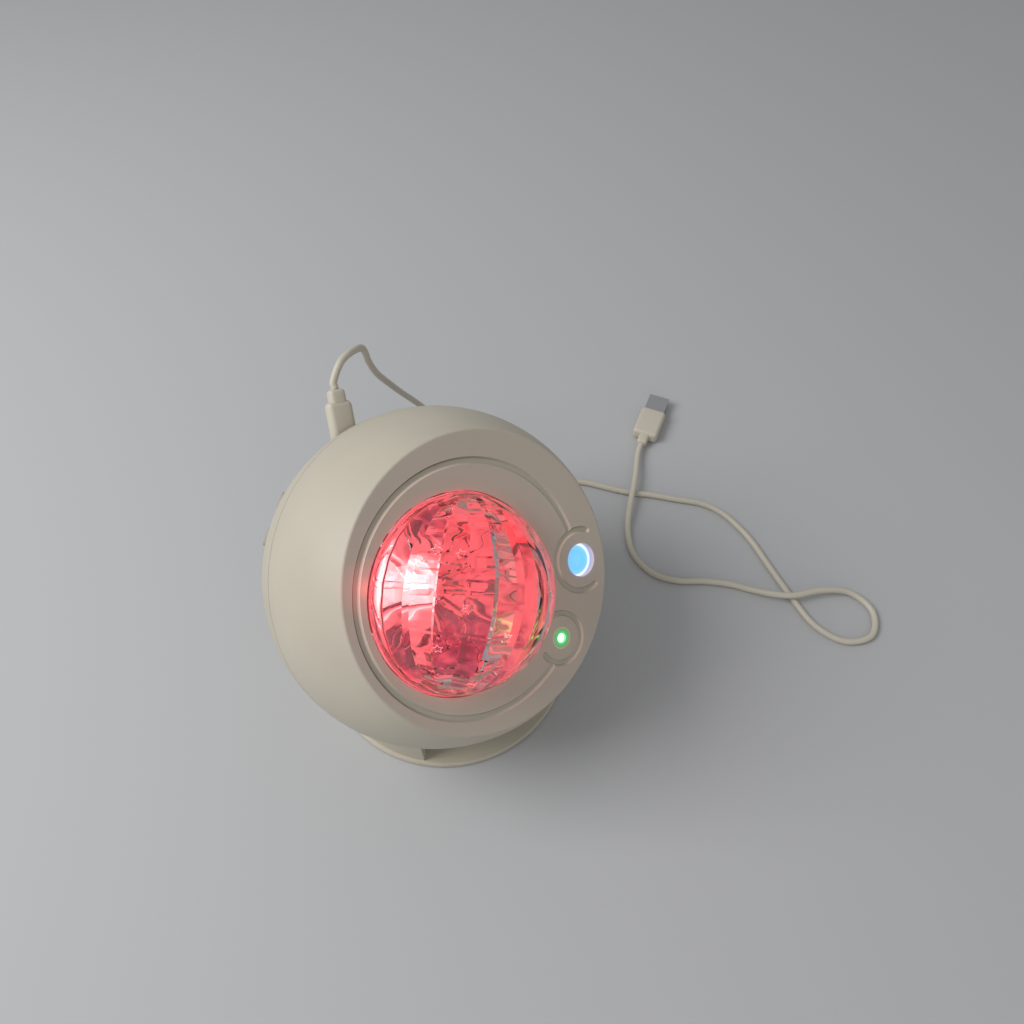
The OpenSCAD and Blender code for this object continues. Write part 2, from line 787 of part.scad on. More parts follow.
// Push button with a collar that keeps it inside the cover.
module push_button(side) {
  tip = sqrt(ball_r * ball_r - pow(button_pitch / 2, 2)) + button_proud;
  collar = sqrt(inner_r * inner_r - pow(button_pitch / 2 + button_r + collar_w, 2)) - button_gap - collar_t;
  in_head() behind_buttons() translate([0, side * button_pitch / 2, 0]) color(rubber_grey) {
    translate([0, 0, button_foot]) cylinder(r = button_r, h = tip - button_foot);
    translate([0, 0, collar]) cylinder(r = button_r + collar_w, h = collar_t);
  }
}

module base_plate() {
  color(ivory) difference() {
    rotate_extrude() {
      translate([0, foot_h]) square([base_r - plate_edge, base_t]);
      translate([0, foot_h]) square([base_r, base_t - plate_edge]);
      translate([base_r - plate_edge, plate_top - plate_edge]) circle(plate_edge);
    }
    for (angle = boss_angles) rotate([0, 0, angle]) translate([boss_ring_r, 0, 0]) {
      cylinder(r = screw_r + screw_play, h = 3 * base_t);
      cylinder(r = screw_head_r + screw_play, h = foot_h + base_head_h);
    }
  }
}

module foot_pad() {
  color(rubber_grey) cylinder(r = base_r - foot_inset, h = foot_h);
}

// Open front of the cradle, as a wedge from the centre.
module front_gap() {
  far = 2 * base_r;
  half = gap_angle / 2;
  linear_extrude(cradle_top + 2 * seat_h)
    polygon([[0, 0], far * [-sin(half), -cos(half)], [0, -2 * far], far * [sin(half), -cos(half)]]);
}

// Cradle wall, open at the front, with a rebate for the soft seat and bosses for the screws.
module cradle() {
  color(ivory) difference() {
    union() {
      translate([0, 0, plate_top]) tube_ring(wall_out, wall_in, cradle_top - plate_top);
      for (angle = boss_angles) rotate([0, 0, angle]) translate([boss_ring_r, 0, plate_top])
        cylinder(r = boss_r, h = boss_h);
    }
    translate([0, 0, cradle_top - seat_h]) cylinder(r = wall_in + seat_w, h = 2 * seat_h);
    for (angle = boss_angles) rotate([0, 0, angle]) translate([boss_ring_r, 0, plate_top - 1])
      cylinder(r = screw_r, h = boss_h - 1);
    front_gap();
  }
}

module seat_strip() {
  $fn = 256;
  color(rubber_grey) difference() {
    translate([0, 0, cradle_top - seat_h]) tube_ring(wall_in + seat_w, wall_in, 2 * seat_h);
    translate([0, 0, ball_z]) sphere(ball_r + seat_gap);
    front_gap();
  }
}

module base_screw(index) {
  rotate([0, 0, boss_angles[index]]) translate([boss_ring_r, 0, foot_h + base_head_h]) color(steel)
    screw(screw_r, screw_head_r, base_head_h, base_t + base_grip);
}

// Lead: smooth curves through points chosen by hand, in millimetres.
function along(p, q, r, s, t) =
  0.5 * ((2 * q) + (r - p) * t + (2 * p - 5 * q + 4 * r - s) * t * t + (3 * q - p - 3 * r + s) * t * t * t);
function curve(points, steps) = [
  for (i = [1:len(points) - 3], k = [0:steps - 1])
    along(points[i - 1], points[i], points[i + 1], points[i + 2], k / steps),
  points[len(points) - 2]
];
function unit(v) = v / norm(v);
function heading(path, i) = unit(path[min(i + 1, len(path) - 1)] - path[max(i - 1, 0)]);
function sides_of(path, i = 0, last = [0.1, 0.2, 1]) =
  i == len(path) ? [] :
  let (t = heading(path, i), side = unit(last - (last * t) * t)) concat([side], sides_of(path, i + 1, side));
function ring_points(path, radius, count) =
  let (sides = sides_of(path)) [
    for (i = [0:len(path) - 1], k = [0:count - 1])
      let (t = heading(path, i), a = 360 * k / count)
        path[i] + radius * (cos(a) * sides[i] + sin(a) * cross(t, sides[i]))
  ];
function tube_faces(rings, count) = concat(
  [for (i = [0:rings - 2], k = [0:count - 1]) let (j = (k + 1) % count)
    [i * count + k, (i + 1) * count + k, (i + 1) * count + j]],
  [for (i = [0:rings - 2], k = [0:count - 1]) let (j = (k + 1) % count)
    [i * count + k, (i + 1) * count + j, i * count + j]],
  [for (k = [1:count - 2]) [0, k, k + 1]],
  [for (k = [1:count - 2]) let (end = (rings - 1) * count) [end, end + k + 1, end + k]]
);

module cord_tube(path, count) {
  polyhedron(points = ring_points(path, cord_d / 2, count), faces = tube_faces(len(path), count));
}

function head_point(p) =
  let (u = p[0] * cos(head_roll) - p[1] * sin(head_roll),
       v = p[0] * sin(head_roll) + p[1] * cos(head_roll),
       e = 90 - face_elevation)
    [u, v * cos(e) - p[2] * sin(e), ball_z + v * sin(e) + p[2] * cos(e)];
function plug_point(s) =
  head_point([plug_side * cos(plug_turn) - s * sin(plug_turn),
              plug_side * sin(plug_turn) + s * cos(plug_turn), -plug_depth]);

// Coil: in on the lower layer, up in half a turn, and out again on the upper layer.
function coil_radius(turn) = coil_out_r - coil_pitch * min(turn, coil_total - turn);
function coil_height(turn) =
  floor_z + coil_pitch * min(max((turn - coil_turns) * 2, 0), 1);
function coil_point(turn) =
  let (reach = coil_radius(turn), angle = -360 * turn)
    [coil_centre[0] + reach * cos(angle), coil_centre[1] + reach * sin(angle), coil_height(turn)];
coil_path = concat([coil_start], [for (k = [0:24 * coil_total]) coil_point(k / 24)], [coil_end]);

arch_points = [
  plug_point(cord_exit - 6), plug_point(cord_exit), plug_point(cord_exit + cord_d),
  [27, 76, 135], [35, 78, 134], [43, 81, 128], [49, 87, 112], [56, 92, 95], [65, 95, 78], [74, 98, 62],
  [84, 100, 45], [95, 99, 25], [104, 93, 8], [109, 80, 3], [109, 70, 2.85],
  coil_start + [0, joint_gap, 0], coil_start - [0, 6, 0]
];
run_points = [
  coil_end + [0, 6, 0], coil_end - [0, joint_gap, 0], coil_end - [0, cord_d, 0],
  [110, 42, 2.5], [118, 26, 1.75], [128, 12, 1.75],
  [138, -10, 1.75], [146, -23, 1.75], [153, -36, 1.75], [160, -49, 1.75], [162, -61, 1.75], [160, -73, 1.75],
  [156, -85, 1.75], [148, -101, 1.75], [139, -120, 1.75], [133, -136, 1.75], [135, -152, 1.75],
  [147, -161, 1.75], [160, -155, 1.75], [162, -141, 2.5], [152, -129, 5], [139, -119, 5.6], [133, -109, 4],
  [129, -98, 1.75], [125, -89, 1.75], [118, -78, 1.75], [109, -67, 1.75], [104, -54, 1.75], [107, -39, 1.75],
  [118, -27, 2.5], [133, -18, 5], [142, -13.5, 5.6], [152, -8, 5.2], [162, -2, 4.2], [168, 1, 4],
  [171, 2, 4], [177, 4, 4]
];

module cord_arch() {
  color(cord_white) cord_tube(curve(arch_points, 4), 8);
}

module cord_run() {
  color(cord_white) cord_tube(curve(run_points, 2), 8);
}

module cord_coil() {
  color(cord_white) cord_tube(coil_path, 6);
}

// Strap round both layers of the coil, on the side away from the lead's ends.
module cord_tie() {
  low_r = coil_radius(coil_total / 2) - cord_d / 2 - tie_play;
  high_r = coil_radius(0.5) + cord_d / 2 + tie_play;
  low_z = floor_z - cord_d / 2 - tie_play;
  high_z = floor_z + coil_pitch + cord_d / 2 + tie_play;
  middle = [coil_centre[0] - (low_r + high_r) / 2, coil_centre[1] + tie_w / 2, (low_z + high_z) / 2];
  color(rubber_grey) translate(middle) rotate([90, 0, 0]) difference() {
    rounded_slab(high_r - low_r + 2 * tie_t, high_z - low_z + 2 * tie_t, tie_w, tie_corner);
    translate([0, 0, -1]) rounded_slab(high_r - low_r, high_z - low_z, tie_w + 2, tie_corner - tie_t);
  }
}

// Places what follows at the lead's far end, with Z along the plug.
module at_far_end() {
  far = run_points[len(run_points) - 2];
  beyond = run_points[len(run_points) - 1] - far;
  translate(far) rotate([0, 0, atan2(beyond[1], beyond[0])]) rotate([90, 0, 90])
    translate([0, 0, joint_gap]) children();
}

module usb_a_plug() {
  color(cord_white) at_far_end() {
    rounded_slab(a_relief_w, a_relief_t, a_relief_len, a_relief_corner);
    translate([0, 0, a_relief_len]) rounded_slab(a_body_w, a_body_t, a_body_len, plug_corner);
    translate([2 * a_shell_wall - a_shell_w / 2, 0, a_relief_len + a_body_len])
      cube([a_shell_w - 4 * a_shell_wall, a_tongue_t, a_shell_len - 1]);
  }
}

module usb_a_shell() {
  wall = a_shell_wall;
  corner = [-a_shell_w / 2, -a_shell_t / 2, a_relief_len + a_body_len];
  color(steel) at_far_end() translate(corner) difference() {
    cube([a_shell_w, a_shell_t, a_shell_len]);
    translate([wall, wall, -1]) cube([a_shell_w - 2 * wall, a_shell_t - 2 * wall, a_shell_len + 2]);
  }
}

base_plate();
cradle();
seat_strip();
foot_pad();
base_screw(0);  // base_screw_1
base_screw(1);  // base_screw_2
base_screw(2);  // base_screw_3
front_shell();
rear_cover();
shell_screw(0);  // shell_screw_1
shell_screw(1);  // shell_screw_2
shell_screw(2);  // shell_screw_3
dome();
dome_clamp();
clamp_screw(0);  // clamp_screw_1
clamp_screw(1);  // clamp_screw_2
clamp_screw(2);  // clamp_screw_3
chassis();
led_board();
led(0);  // led_1
led(1);  // led_2
led(2);  // led_3
led(3);  // led_4
light_tray();
ripple_motor();
ripple_wheel();
ripple_shaft();
laser_holder();
laser_module();
laser_window();
star_motor();
star_disc();
star_shaft();
blue_barrel();
blue_lens();
blue_led();
main_board();
usb_socket();
switch_board();
switch_body(-1);  // switch_1
switch_body(1);  // switch_2
push_button(-1);  // button_power
push_button(1);  // button_mode
usb_c_plug();
plug_tongue();
cord_arch();
cord_coil();
cord_tie();
cord_run();
usb_a_plug();
usb_a_shell();
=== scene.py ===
import math
import random

import bpy
from mathutils import Matrix, Vector


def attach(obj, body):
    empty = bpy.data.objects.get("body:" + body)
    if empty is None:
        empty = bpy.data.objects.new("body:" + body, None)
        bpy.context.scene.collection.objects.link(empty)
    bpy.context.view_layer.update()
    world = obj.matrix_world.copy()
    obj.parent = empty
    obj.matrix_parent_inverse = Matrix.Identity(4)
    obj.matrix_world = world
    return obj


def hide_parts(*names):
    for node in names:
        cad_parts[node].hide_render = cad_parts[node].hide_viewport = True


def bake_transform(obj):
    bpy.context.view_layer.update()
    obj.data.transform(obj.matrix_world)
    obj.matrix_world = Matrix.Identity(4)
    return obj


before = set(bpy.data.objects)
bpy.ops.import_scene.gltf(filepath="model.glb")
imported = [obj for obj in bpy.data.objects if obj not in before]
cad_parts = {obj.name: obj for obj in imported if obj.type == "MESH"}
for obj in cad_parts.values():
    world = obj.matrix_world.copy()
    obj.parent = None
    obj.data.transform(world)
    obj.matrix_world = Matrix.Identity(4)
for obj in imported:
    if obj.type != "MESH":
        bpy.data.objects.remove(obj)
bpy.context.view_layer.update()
bpy.ops.object.select_all(action="DESELECT")


# Studio: a pale floor, one large soft lamp from behind and left, a weak warm one in front,
# and the camera at the photograph's height and angle.
lamp_target = Vector((0, 0, 0.06))
camera_place = (-0.1097, -0.1364, 0.3791)
camera_tip = math.radians(34.16)
camera_turn = math.radians(-49.45)


def new_material(name):
    material = bpy.data.materials.new(name)
    material.use_nodes = True
    return material


def shader_of(material):
    return material.node_tree.nodes["Principled BSDF"]


def soft_lamp(place, size, energy, colour):
    bpy.ops.object.light_add(type="AREA", location=place)
    lamp = bpy.context.object
    lamp.data.size = size
    lamp.data.energy = energy
    lamp.data.color = colour
    lamp.rotation_euler = (lamp_target - lamp.location).to_track_quat("-Z", "Y").to_euler()


studio = bpy.data.worlds.new("studio")
studio.use_nodes = True
daylight = studio.node_tree.nodes["Background"]
daylight.inputs["Color"].default_value = (0.97, 0.98, 1.0, 1)
daylight.inputs["Strength"].default_value = 0.36
bpy.context.scene.world = studio
bpy.context.scene.view_settings.view_transform = "Standard"

bpy.ops.mesh.primitive_plane_add(size=8, location=(0, 0, 0))
floor = bpy.context.object
floor.name = "floor"
floor_paint = new_material("floor_paint")
shader_of(floor_paint).inputs["Base Color"].default_value = (0.50, 0.505, 0.515, 1)
shader_of(floor_paint).inputs["Roughness"].default_value = 0.8
floor.data.materials.append(floor_paint)

soft_lamp((-0.62, 0.55, 0.95), size=0.7, energy=10.0, colour=(1, 1, 1))
soft_lamp((-0.55, -0.95, 0.7), size=0.9, energy=1.0, colour=(1.0, 0.94, 0.87))

bpy.ops.object.camera_add(location=camera_place, rotation=(camera_tip, 0, camera_turn))
camera = bpy.context.object
camera.data.sensor_width = 36
camera.data.lens = 28.125
camera.data.clip_start = 0.01
bpy.context.scene.camera = camera


# Base: a flat round plate of ivory plastic with a C-shaped wall screwed on top. The wall carries the
# ball on a soft black strip, and a thin rubber pad is stuck under the plate.
ivory = (0.555, 0.510, 0.415)
gloss_spread = 0.16


def node_group(name, given, results):
    group = bpy.data.node_groups.new(name, "ShaderNodeTree")
    for socket, kind in given:
        group.interface.new_socket(socket, in_out="INPUT", socket_type=kind)
    for socket, kind in results:
        group.interface.new_socket(socket, in_out="OUTPUT", socket_type=kind)
    return group, group.nodes.new("NodeGroupInput"), group.nodes.new("NodeGroupOutput")


def grain_group():
    group, given, result = node_group(
        "moulded_grain",
        [("Colour", "NodeSocketColor"), ("Grain", "NodeSocketFloat"), ("Roughness", "NodeSocketFloat")],
        [("Colour", "NodeSocketColor"), ("Roughness", "NodeSocketFloat"), ("Height", "NodeSocketFloat")])
    nodes, links = group.nodes, group.links
    place = nodes.new("ShaderNodeTexCoord")
    spark = nodes.new("ShaderNodeTexNoise")
    spark.inputs["Detail"].default_value = 3
    links.new(place.outputs["Object"], spark.inputs["Vector"])
    links.new(given.outputs["Grain"], spark.inputs["Scale"])
    cloud = nodes.new("ShaderNodeTexNoise")
    cloud.inputs["Scale"].default_value = 22
    cloud.inputs["Detail"].default_value = 4
    links.new(place.outputs["Object"], cloud.inputs["Vector"])
    tone = nodes.new("ShaderNodeMapRange")
    tone.inputs["From Min"].default_value = 0.3
    tone.inputs["From Max"].default_value = 0.7
    tone.inputs["To Min"].default_value = 0.94
    tone.inputs["To Max"].default_value = 1.03
    links.new(cloud.outputs["Fac"], tone.inputs["Value"])
    shade = nodes.new("ShaderNodeVectorMath")
    shade.operation = "SCALE"
    links.new(given.outputs["Colour"], shade.inputs[0])
    links.new(tone.outputs["Result"], shade.inputs["Scale"])
    links.new(shade.outputs["Vector"], result.inputs["Colour"])
    polish = nodes.new("ShaderNodeMath")
    polish.operation = "MULTIPLY_ADD"
    polish.inputs[1].default_value = gloss_spread
    links.new(spark.outputs["Fac"], polish.inputs[0])
    links.new(given.outputs["Roughness"], polish.inputs[2])
    links.new(polish.outputs["Value"], result.inputs["Roughness"])
    links.new(spark.outputs["Fac"], result.inputs["Height"])
    return group


moulded_grain = grain_group()


def moulded_plastic(name, colour, roughness, grain, depth, metal=0.0):
    material = new_material(name)
    nodes, links = material.node_tree.nodes, material.node_tree.links
    skin = nodes.new("ShaderNodeGroup")
    skin.node_tree = moulded_grain
    skin.inputs["Colour"].default_value = (*colour, 1)
    skin.inputs["Grain"].default_value = grain
    skin.inputs["Roughness"].default_value = roughness - gloss_spread / 2
    shader = shader_of(material)
    shader.inputs["Metallic"].default_value = metal
    relief = nodes.new("ShaderNodeBump")
    relief.inputs["Distance"].default_value = depth
    relief.inputs["Strength"].default_value = 0.6
    links.new(skin.outputs["Height"], relief.inputs["Height"])
    links.new(relief.outputs["Normal"], shader.inputs["Normal"])
    links.new(skin.outputs["Colour"], shader.inputs["Base Color"])
    links.new(skin.outputs["Roughness"], shader.inputs["Roughness"])
    return material


def dress(material, *names):
    for name in names:
        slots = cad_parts[name].data.materials
        slots.clear()
        slots.append(material)


ivory_plastic = moulded_plastic("ivory_plastic", ivory, roughness=0.52, grain=2600, depth=0.00006)
soft_rubber = moulded_plastic("soft_rubber", (0.035, 0.035, 0.037), roughness=0.75, grain=1800,
                              depth=0.00008)
plated_steel = moulded_plastic("plated_steel", (0.62, 0.62, 0.63), roughness=0.32, grain=900, depth=0.00003,
                               metal=1.0)
dress(ivory_plastic, "base_plate", "cradle")
dress(soft_rubber, "seat_strip", "foot_pad")
dress(plated_steel, "base_screw_1", "base_screw_2", "base_screw_3")


# Ball: two moulded half shells that meet at a fine seam behind the face, held by three long screws from
# behind. The flat face is grooved round the dome and the lenses, with painted glow for light from the dome
# and the blue lens. Groove walls turned to the key lamp get painted light, the others painted shade.
nothing = (0, 0, 0)
full = (1, 1, 1)
head_lift = 0.0775
head_lean = math.radians(47.3)
head_roll = math.radians(-45)
head_place = (Matrix.Translation((0, 0, head_lift)) @ Matrix.Rotation(head_lean, 4, "X")
              @ Matrix.Rotation(head_roll, 4, "Z"))
dome_across, dome_up = -0.0102, -0.0049
blue_across, blue_up = 0.0459, 0.0122
face_lift = 0.0405
face_way = (0, -0.7349, 0.6782)
face_level = 0.09306
upper_left = (-0.518, 0.580, 0.628)


def on_head(x, y, z):
    return head_place @ Vector((x, y, z))


face_middle = on_head(0, 0, face_lift)
dome_middle = on_head(dome_across, dome_up, face_lift)
blue_front = on_head(blue_across, blue_up, 0.0385)
hot_edge = on_head(-0.0500, dome_up, 0.0410)


def reach_group():
    group, given, result = node_group(
        "lamp_reach", [("Lamp", "NodeSocketVector"), ("Reach", "NodeSocketFloat")],
        [("Share", "NodeSocketFloat")])
    nodes, links = group.nodes, group.links
    place = nodes.new("ShaderNodeTexCoord")
    gap = nodes.new("ShaderNodeVectorMath")
    gap.operation = "DISTANCE"
    links.new(place.outputs["Object"], gap.inputs[0])
    links.new(given.outputs["Lamp"], gap.inputs[1])
    share = nodes.new("ShaderNodeMapRange")
    links.new(gap.outputs["Value"], share.inputs["Value"])
    links.new(given.outputs["Reach"], share.inputs["From Max"])
    links.new(share.outputs["Result"], result.inputs["Share"])
    return group


def height_group():
    group, given, result = node_group(
        "face_height", [("Low", "NodeSocketFloat"), ("High", "NodeSocketFloat")],
        [("Share", "NodeSocketFloat")])
    nodes, links = group.nodes, group.links
    place = nodes.new("ShaderNodeTexCoord")
    height = nodes.new("ShaderNodeVectorMath")
    height.operation = "DOT_PRODUCT"
    height.inputs[1].default_value = face_way
    links.new(place.outputs["Object"], height.inputs[0])
    share = nodes.new("ShaderNodeMapRange")
    links.new(height.outputs["Value"], share.inputs["Value"])
    links.new(given.outputs["Low"], share.inputs["From Min"])
    links.new(given.outputs["High"], share.inputs["From Max"])
    links.new(share.outputs["Result"], result.inputs["Share"])
    return group


lamp_reach = reach_group()
face_height = height_group()


def away_from(tree, lamp, reach):
    share = tree.nodes.new("ShaderNodeGroup")
    share.node_tree = lamp_reach
    share.inputs["Lamp"].default_value = lamp
    share.inputs["Reach"].default_value = reach
    return share.outputs["Share"]


def above_face(tree, low, high):
    share = tree.nodes.new("ShaderNodeGroup")
    share.node_tree = face_height
    share.inputs["Low"].default_value = face_level + low
    share.inputs["High"].default_value = face_level + high
    return share.outputs["Share"]


def colour_steps(tree, value, steps):
    ramp = tree.nodes.new("ShaderNodeValToRGB")
    bar = ramp.color_ramp.elements
    bar[0].position = steps[0][0]
    bar[0].color = (*steps[0][1], 1)
    bar[1].position = steps[-1][0]
    bar[1].color = (*steps[-1][1], 1)
    for where, colour in steps[1:-1]:
        bar.new(where).color = (*colour, 1)
    tree.links.new(value, ramp.inputs["Fac"])
    return ramp.outputs["Color"]


def glow_near(tree, lamp, reach, steps):
    return colour_steps(tree, away_from(tree, lamp, reach), steps)


def added(tree, first, second):
    total = tree.nodes.new("ShaderNodeVectorMath")
    tree.links.new(first, total.inputs[0])
    tree.links.new(second, total.inputs[1])
    return total.outputs["Vector"]


def multiplied(tree, first, second):
    product = tree.nodes.new("ShaderNodeVectorMath")
    product.operation = "MULTIPLY"
    tree.links.new(first, product.inputs[0])
    tree.links.new(second, product.inputs[1])
    return product.outputs["Vector"]


def paint_light_and_shade_into_base_colour(material, colour):
    base_colour = shader_of(material).inputs["Base Color"]
    plain_colour = base_colour.links[0].from_socket
    colour_with_painted_light_and_shade = multiplied(material.node_tree, plain_colour, colour)
    material.node_tree.links.new(colour_with_painted_light_and_shade, base_colour)


def shine(material, light, strength):
    shader = shader_of(material)
    material.node_tree.links.new(light, shader.inputs["Emission Color"])
    shader.inputs["Emission Strength"].default_value = strength


face_ivory = moulded_plastic("face_ivory", ivory, roughness=0.52, grain=2600, depth=0.00006)
face_tree = face_ivory.node_tree
# Painted light: a pink glow from the dome painted on the face as emission, only on its flat top.
spill = glow_near(face_tree, dome_middle, 0.08, [
    (0.50, (0.10, 0.012, 0.014)), (0.54, (0.038, 0.006, 0.008)), (0.66, (0.024, 0.005, 0.007)),
    (1.0, (0.016, 0.005, 0.007))])
spill = multiplied(face_tree, spill, above_face(face_tree, -0.0004, -0.0001))

# Painted light and shade on the groove walls: walls turned to the key lamp get painted light as glow, and
# walls turned away get painted shade that darkens their base colour.
wall_way = face_tree.nodes.new("ShaderNodeTexCoord")
turned = face_tree.nodes.new("ShaderNodeVectorMath")
turned.operation = "DOT_PRODUCT"
turned.inputs[1].default_value = upper_left
face_tree.links.new(wall_way.outputs["Normal"], turned.inputs[0])
groove_zone = glow_near(face_tree, face_middle, 0.06, [(0.955, full), (0.960, nothing)])
wall_turn = face_tree.nodes.new("ShaderNodeMath")
wall_turn.operation = "MULTIPLY"
face_tree.links.new(turned.outputs["Value"], wall_turn.inputs[0])
face_tree.links.new(groove_zone, wall_turn.inputs[1])
wall_range = face_tree.nodes.new("ShaderNodeMapRange")
wall_range.inputs["From Min"].default_value = -1
face_tree.links.new(wall_turn.outputs["Value"], wall_range.inputs["Value"])
wall_share = wall_range.outputs["Result"]
painted_wall_light = colour_steps(face_tree, wall_share, [(0.66, nothing), (0.82, (0.16, 0.10, 0.08))])
painted_wall_shade = colour_steps(face_tree, wall_share, [(0.20, (0.42, 0.40, 0.41)), (0.44, full)])
paint_light_and_shade_into_base_colour(face_ivory, painted_wall_shade)

# Painted light: a red glow painted on the face by the dome's hot edge, and a painted purple-blue rim round
# the blue lens.
flare = glow_near(face_tree, hot_edge, 0.03, [
    (0.0, (0.75, 0.06, 0.07)), (0.15, (0.22, 0.02, 0.025)), (0.40, (0.02, 0.003, 0.004)), (1.0, nothing)])
blue_spill = glow_near(face_tree, blue_front, 0.012, [
    (0.55, (0.20, 0.14, 0.30)), (0.615, (0.13, 0.09, 0.20)), (0.645, (0.004, 0.008, 0.02)), (0.9, nothing)])
face_light = added(face_tree, spill, painted_wall_light)
face_light = added(face_tree, added(face_tree, face_light, flare), blue_spill)
shine(face_ivory, face_light, 1.0)
dress(face_ivory, "front_shell")
dress(ivory_plastic, "rear_cover")
dress(plated_steel, "shell_screw_1", "shell_screw_2", "shell_screw_3",
      "clamp_screw_1", "clamp_screw_2", "clamp_screw_3")


# Light engine: a black plate across the ball carries the motors, a lamp board and a white tray with its
# clamp ring. One lamp is lit. Its coral light on the white plastic is a painted glow that fades to painted
# maroon shade in the corners, and the black plate and the two unlit lamps carry a painted glow of it too.
black = (0.022, 0.022, 0.024)
lit_lamp = on_head(-0.0314, dome_up, 0.0114)
lower_corner = on_head(0.0020, -0.0310, 0.0140)
upper_corner = on_head(-0.0100, 0.0230, 0.0140)
red_band = on_head(0.0145, 0.0190, 0.0200)
band_reach = 0.012


def speckle(tree, scale, detail):
    place = tree.nodes.new("ShaderNodeTexCoord")
    noise = tree.nodes.new("ShaderNodeTexNoise")
    noise.inputs["Scale"].default_value = scale
    noise.inputs["Detail"].default_value = detail
    tree.links.new(place.outputs["Object"], noise.inputs["Vector"])
    return noise.outputs["Fac"]


glowing_white = new_material("glowing_white")
shader_of(glowing_white).inputs["Base Color"].default_value = (0.30, 0.12, 0.12, 1)
shader_of(glowing_white).inputs["Roughness"].default_value = 0.5
glow_tree = glowing_white.node_tree
swirl = speckle(glow_tree, scale=130, detail=4)


def wavy(value, amount):
    sway = glow_tree.nodes.new("ShaderNodeMath")
    sway.operation = "MULTIPLY_ADD"
    sway.inputs[1].default_value = amount
    glow_tree.links.new(swirl, sway.inputs[0])
    glow_tree.links.new(value, sway.inputs[2])
    return sway.outputs["Value"]


def laid_over(under, over, mask):
    blend = glow_tree.nodes.new("ShaderNodeMix")
    blend.data_type = "RGBA"
    glow_tree.links.new(mask, blend.inputs["Factor"])
    glow_tree.links.new(under, blend.inputs["A"])
    glow_tree.links.new(over, blend.inputs["B"])
    return blend.outputs["Result"]


# Painted light: a coral glow painted on the white parts, brightest at the lit lamp and fading with
# distance.
from_lamp = wavy(away_from(glow_tree, lit_lamp, 0.085), 0.12)
flood = colour_steps(glow_tree, from_lamp, [
    (0.10, (1.0, 0.95, 0.93)), (0.20, (0.9, 0.50, 0.50)), (0.29, (0.55, 0.100, 0.115)),
    (0.45, (0.50, 0.070, 0.084)), (0.62, (0.42, 0.058, 0.068)), (0.80, (0.40, 0.062, 0.068)),
    (1.0, (0.27, 0.052, 0.056))])
# Painted shade: maroon laid over the painted glow in two corners.
painted_maroon_shade = colour_steps(glow_tree, swirl, [
    (0.38, (0.07, 0.002, 0.014)), (0.52, (0.17, 0.008, 0.030)), (0.64, (0.33, 0.03, 0.05))])
for corner, reach in ((lower_corner, 0.032), (upper_corner, 0.015)):
    from_corner = wavy(away_from(glow_tree, corner, reach), 0.5)
    painted_shade_zone = colour_steps(glow_tree, from_corner, [(0.84, full), (0.96, nothing)])
    flood = laid_over(flood, painted_maroon_shade, painted_shade_zone)
# Painted light: a red band with a dark rim laid over the painted glow.
band = glow_near(glow_tree, red_band, band_reach, [
    (0.0, (0.46, 0.06, 0.07)), (0.36, (0.46, 0.04, 0.05)), (0.42, (0.50, 0.022, 0.028)),
    (0.74, (0.50, 0.026, 0.032)), (0.77, (0.03, 0.001, 0.003)), (0.85, (0.05, 0.003, 0.006)),
    (0.90, (0.46, 0.05, 0.06))])
band_zone = glow_near(glow_tree, red_band, band_reach, [(0.90, full), (0.96, nothing)])
flood = laid_over(flood, band, band_zone)
# Painted light: blotches of brighter and dimmer painted glow.
painted_light_blotches = colour_steps(glow_tree, swirl, [
    (0.36, (0.60, 0.42, 0.50)), (0.47, (0.92, 0.85, 0.88)), (0.56, full)])
flood = multiplied(glow_tree, flood, painted_light_blotches)
shine(glowing_white, flood, 2.1)

black_plastic = moulded_plastic("black_plastic", black, roughness=0.45, grain=1500, depth=0.00005)
# Painted light: a copy of the black plastic with a coral glow painted near the dome.
lit_black = moulded_plastic("lit_black", black, roughness=0.45, grain=1500, depth=0.00005)
black_glow = glow_near(lit_black.node_tree, dome_middle, 0.06, [
    (0.50, (0.42, 0.045, 0.06)), (0.85, nothing)])
shine(lit_black, black_glow, 1.0)
green_board = moulded_plastic("green_board", (0.02, 0.13, 0.06), roughness=0.35, grain=700, depth=0.00003)
white_lamp = moulded_plastic("white_lamp", (0.70, 0.62, 0.55), roughness=0.3, grain=900, depth=0.00003)
# Painted light: the two unlit lamps get a painted dark red glow.
brown_lamp = moulded_plastic("brown_lamp", (0.06, 0.012, 0.012), roughness=0.3, grain=900, depth=0.00003)
shader_of(brown_lamp).inputs["Emission Color"].default_value = (0.20, 0.02, 0.03, 1)
shader_of(brown_lamp).inputs["Emission Strength"].default_value = 1.0
lamp_light = moulded_plastic("lamp_light", (1, 0.8, 0.8), roughness=0.3, grain=900, depth=0.00003)
shader_of(lamp_light).inputs["Emission Color"].default_value = (1.0, 0.80, 0.78, 1)
shader_of(lamp_light).inputs["Emission Strength"].default_value = 14.0
dress(lit_black, "chassis")
dress(black_plastic, "laser_holder", "blue_barrel", "switch_1", "switch_2")
dress(glowing_white, "led_board", "light_tray", "dome_clamp", "ripple_motor")
dress(white_lamp, "led_1")
dress(brown_lamp, "led_2", "led_4")
dress(lamp_light, "led_3")
dress(green_board, "main_board", "blue_led", "switch_board")
dress(plated_steel, "ripple_shaft", "star_motor", "star_shaft", "usb_socket")


